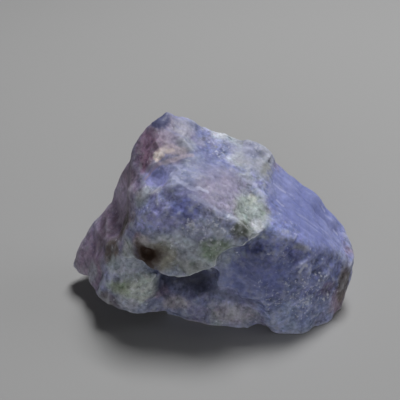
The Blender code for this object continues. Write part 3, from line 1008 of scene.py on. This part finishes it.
@dataclass
class Lump:
    """The stone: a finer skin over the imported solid."""

    merge_mm: float = 0.002
    cell_mm: float = 0.35
    easing: float = 0.5
    easing_rounds: int = 3
    worn: tuple[Spot, ...] = WORN
    worn_rounds: int = 90
    worn_core: float = 2.0
    swells: tuple[Bulge, ...] = SWELLS
    wear: Wear = Wear()
    facets: tuple[Facets, ...] = (Facets(4.4, 0.4, 3.1), Facets(2.0, 0.2, 7.7), Facets(0.9, 0.1, 12.9))
    facet_wander: float = 0.6
    wander_size: float = 2.5
    # Width and depth of the pits and of the streaks, then fineness and share of the streaks' ripple
    pit_mm: tuple[float, float] = (0.55, 0.06)
    streak_mm: tuple[float, float] = (1.7, 0.05)
    ripple: tuple[float, float] = (2.3, 0.6)
    streak_stretch: float = 9.0
    streak_groove: float = 2.2
    seed: int = 1
    # Between these heights the relief rises from nothing at the flat base
    flat_mm: tuple[float, float] = (0.15, 0.9)
    # Rounds of easing, and how far a sharp edge then stands out
    edge_reaches: tuple[tuple[int, float], ...] = ((5, 0.09), (20, 0.3))
    edge_strength: float = 0.6

    def skin(self) -> bpy.types.Object:
        """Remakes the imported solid's mesh in small even cells.

        Returns:
            An object with that mesh.
        """
        shape = bmesh.new()
        shape.from_mesh(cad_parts[NODE].data)
        bmesh.ops.remove_doubles(shape, verts=shape.verts, dist=self.merge_mm * MM)
        mesh = bpy.data.meshes.new("stone")
        shape.to_mesh(mesh)
        shape.free()
        stone = bpy.data.objects.new("stone", mesh)
        bpy.context.scene.collection.objects.link(stone)
        cells = stone.modifiers.new("small cells", "REMESH")
        cells.mode = "VOXEL"
        cells.voxel_size = self.cell_mm * MM
        graph = bpy.context.evaluated_depsgraph_get()
        fine = bpy.data.meshes.new_from_object(stone.evaluated_get(graph))
        stone.modifiers.clear()
        stone.data = fine
        return stone

    def facet(self, at: Vector, facets: Facets) -> float:
        """Height of flat facets that meet in creases and ridges.

        Args:
            at: the place.
            facets: which set of facets.

        Returns:
            The height as a share of their depth, from -0.5 to 0.5.
        """
        size, seed = facets.size, facets.seed
        bend = noise.noise_vector(at / (self.wander_size * size)) * self.facet_wander
        place = at / size + bend + Vector((seed, 2 * seed, 3 * seed))
        corner = Vector([math.floor(part) for part in place])
        rest = place - corner
        corner += Vector(HALVES)
        order = sorted(range(3), key=lambda axis: rest[axis], reverse=True)
        height = (1 - rest[order[0]]) * noise.cell(corner)
        for axis, after in zip(order, (*order[1:], None)):
            corner[axis] += 1
            height += (rest[axis] - (0 if after is None else rest[after])) * noise.cell(corner)
        return height - HALF

    def streak(self, at: Vector) -> float:
        """Height of the cleavage streaks, as a share of their depth.

        Args:
            at: the place.

        Returns:
            The height, about -1 to 1.
        """
        size, (fineness, share) = self.streak_mm[0], self.ripple
        along = at.dot(Grain.along) / (self.streak_stretch * size)
        laid = Vector((along, at.dot(Grain.across) / size, at.dot(Grain.through) / size))
        return 1 - self.streak_groove * abs(noise.noise(laid)) + share * noise.noise(laid * fineness)

    def relief(self, at: Vector, normal: Vector) -> float:
        """Height of the skin over the eased solid, which fades out towards the flat base.

        Args:
            at: the place.
            normal: which way the skin faces there.

        Returns:
            The height in millimetres.
        """
        rough, streaked = self.wear.roughness_at(at, normal)
        height = 0.0
        for facets in self.facets:
            height += rough * facets.depth * self.facet(at, facets)
        pit_size, pit_depth = self.pit_mm
        height += pit_depth * rough * noise.noise(at / pit_size)
        height += streaked * self.streak_mm[1] * self.streak(at)
        low, high = self.flat_mm
        return height * rise(at.z, low, high - low)

    def ease(self, shape: bmesh.types.BMesh, verts: Verts, rounds: int) -> None:
        """Evens the skin out.

        Args:
            shape: the mesh.
            verts: its points that move.
            rounds: how many times.
        """
        for _ in range(rounds):
            bmesh.ops.smooth_vert(
                shape, verts=verts, factor=self.easing, use_axis_x=True, use_axis_y=True, use_axis_z=True
            )

    def soften(self, shape: bmesh.types.BMesh) -> None:
        """Evens the skin out where the stone is worn round.

        Args:
            shape: the mesh.
        """
        worn = {}
        for vert in shape.verts:
            at = vert.co / MM
            share = max(inside(at, middle, radius) for middle, radius in self.worn)
            if share > 0:
                worn[vert] = (vert.co.copy(), min(1, self.worn_core * share))
        self.ease(shape, list(worn), self.worn_rounds)
        for vert, (before, share) in worn.items():
            vert.co = before.lerp(vert.co, share)

    def swell(self, shape: bmesh.types.BMesh) -> None:
        """Raises and lowers the skin where the stone bulges or is worn away.

        Args:
            shape: the mesh.
        """
        shape.normal_update()
        for vert in shape.verts:
            at = vert.co / MM
            rises = 0.0
            for middle, radius, height in self.swells:
                share = inside(at, middle, radius)
                if share > 0:
                    rises += height * share * share
            vert.co += vert.normal * (rises * MM)

    def edges(self, shape: bmesh.types.BMesh) -> list[float]:
        """How far each point stands out of its surroundings.

        Args:
            shape: the finished skin.

        Returns:
            A value for each point, from -1 in a cleft to 1 on a ridge.
        """
        sums = [0.0] * len(shape.verts)
        smoother = shape.copy()
        smoother.verts.ensure_lookup_table()
        shape.normal_update()
        for rounds, reach in self.edge_reaches:
            self.ease(smoother, smoother.verts, rounds)
            for index, vert in enumerate(shape.verts):
                sums[index] += (vert.co - smoother.verts[index].co).dot(vert.normal) / (reach * MM)
        smoother.free()
        return [min(max(value * self.edge_strength, -1), 1) for value in sums]

    def keep_inside(self, shape: bmesh.types.BMesh) -> None:
        """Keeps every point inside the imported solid's box, and the base flat.

        Args:
            shape: the mesh.
        """
        low, high = CAD_BOX
        for vert in shape.verts:
            for axis in range(3):
                vert.co[axis] = min(max(vert.co[axis], low[axis]), high[axis])

    def shape_skin(self, stone: bpy.types.Object) -> None:
        """Shapes the skin, and marks its ridges and clefts.

        Args:
            stone: the object with the even cells.
        """
        shape = bmesh.new()
        shape.from_mesh(stone.data)
        bmesh.ops.triangulate(shape, faces=shape.faces)
        self.ease(shape, shape.verts, self.easing_rounds)
        self.soften(shape)
        self.swell(shape)
        shape.normal_update()
        heights = [self.relief(vert.co / MM, vert.normal) for vert in shape.verts]
        for vert, height in zip(shape.verts, heights):
            vert.co += vert.normal * (height * MM)
        self.keep_inside(shape)
        standing = self.edges(shape)
        for face in shape.faces:
            face.smooth = True
        shape.to_mesh(stone.data)
        shape.free()
        for name, sign in (("ridge", 1), ("cleft", -1)):
            values = [max(0.0, sign * value) for value in standing]
            stone.data.attributes.new(name, "FLOAT", "POINT").data.foreach_set("value", values)

    def build(self, finish: StoneFinish, effects: Effects) -> bpy.types.Object:
        """Builds and dresses the stone.

        Args:
            finish: its finish.
            effects: the shared node groups.

        Returns:
            The finished piece.
        """
        noise.seed_set(self.seed)
        stone = self.skin()
        self.shape_skin(stone)
        stone.data.materials.clear()
        stone.data.materials.append(Painter(finish, effects).paint())
        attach(stone, BODY)
        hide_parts(NODE)
        LOG.info("%s: %d faces", stone.name, len(stone.data.polygons))
        return stone


@dataclass(frozen=True)
class Lamp:
    """A square soft lamp, its place and size in metres and its power in watts."""

    name: str
    place: Triple
    size: float
    power: float


@dataclass
class Studio:
    """The floor, the lights and the camera."""

    floor_half: float = 1.5
    floor_tone: Triple = (0.36, 0.36, 0.36)
    floor_roughness: float = 0.9
    aim_mm: Triple = (-2.5, -1.696, 24.0)
    distance_mm: float = 140.7
    elevation_deg: float = 30.0
    lens_mm: float = 60.0
    sensor_mm: float = 36.0
    nearest_mm: float = 1.0
    lamps: tuple[Lamp, ...] = (
        Lamp("key", (0.16, 0.3, 0.8), 0.25, 6.5),
        Lamp("side", (0.62, 0.06, 0.5), 0.4, 0.7),
        Lamp("fill", (-0.05, -0.6, 0.12), 0.3, 0.95),
    )
    lamp_target: Triple = (0.0, 0.0, 0.015)
    sky_tone: Triple = (0.86, 0.9, 1.0)
    sky_strength: float = 0.003

    def floor(self) -> None:
        """Lays the plain floor."""
        shape = bmesh.new()
        bmesh.ops.create_grid(shape, x_segments=1, y_segments=1, size=self.floor_half)
        mesh = bpy.data.meshes.new("floor")
        shape.to_mesh(mesh)
        shape.free()
        floor = bpy.data.objects.new("floor", mesh)
        bpy.context.scene.collection.objects.link(floor)
        material = bpy.data.materials.new("plain floor")
        material.use_nodes = True
        surface = material.node_tree.nodes["Principled BSDF"]
        surface.inputs["Base Color"].default_value = (*self.floor_tone, 1)
        surface.inputs["Roughness"].default_value = self.floor_roughness
        mesh.materials.append(material)

    def aim(self, thing: bpy.types.Object, place: Vector, target: Vector) -> None:
        """Puts a lamp or the camera somewhere and turns it to a target.

        Args:
            thing: what is placed.
            place: where.
            target: what it looks at.
        """
        bpy.context.scene.collection.objects.link(thing)
        thing.location = place
        thing.rotation_mode = "QUATERNION"
        thing.rotation_quaternion = (target - place).to_track_quat("-Z", "Y")

    def lights(self) -> None:
        """Hangs the soft lamps above, beside and in front, and sets the sky."""
        for lamp in self.lamps:
            light = bpy.data.lights.new(lamp.name, "AREA")
            light.size = lamp.size
            light.energy = lamp.power
            self.aim(bpy.data.objects.new(lamp.name, light), Vector(lamp.place), Vector(self.lamp_target))
        sky = bpy.data.worlds.new("sky")
        bpy.context.scene.world = sky
        sky.use_nodes = True
        glow = sky.node_tree.nodes["Background"]
        glow.inputs["Color"].default_value = (*self.sky_tone, 1)
        glow.inputs["Strength"].default_value = self.sky_strength
        bpy.context.scene.view_settings.view_transform = "Standard"

    def camera(self) -> None:
        """Sets the camera at the photograph's angle."""
        data = bpy.data.cameras.new("camera")
        data.lens = self.lens_mm
        data.sensor_width = self.sensor_mm
        data.clip_start = self.nearest_mm * MM
        tilt = math.radians(self.elevation_deg)
        target = Vector(self.aim_mm) * MM
        place = target + Vector((0, -math.cos(tilt), math.sin(tilt))) * (self.distance_mm * MM)
        camera = bpy.data.objects.new("camera", data)
        self.aim(camera, place, target)
        bpy.context.scene.camera = camera

    def build(self) -> None:
        """Builds the floor, the lights and the camera."""
        self.floor()
        self.lights()
        self.camera()
        LOG.info("studio: floor, light and camera")


def main() -> None:
    """Builds the stone and the studio."""
    logging.basicConfig(level=logging.INFO, format="%(message)s")
    Lump().build(StoneFinish(), Effects())
    Studio().build()


if __name__ == "__main__":
    main()
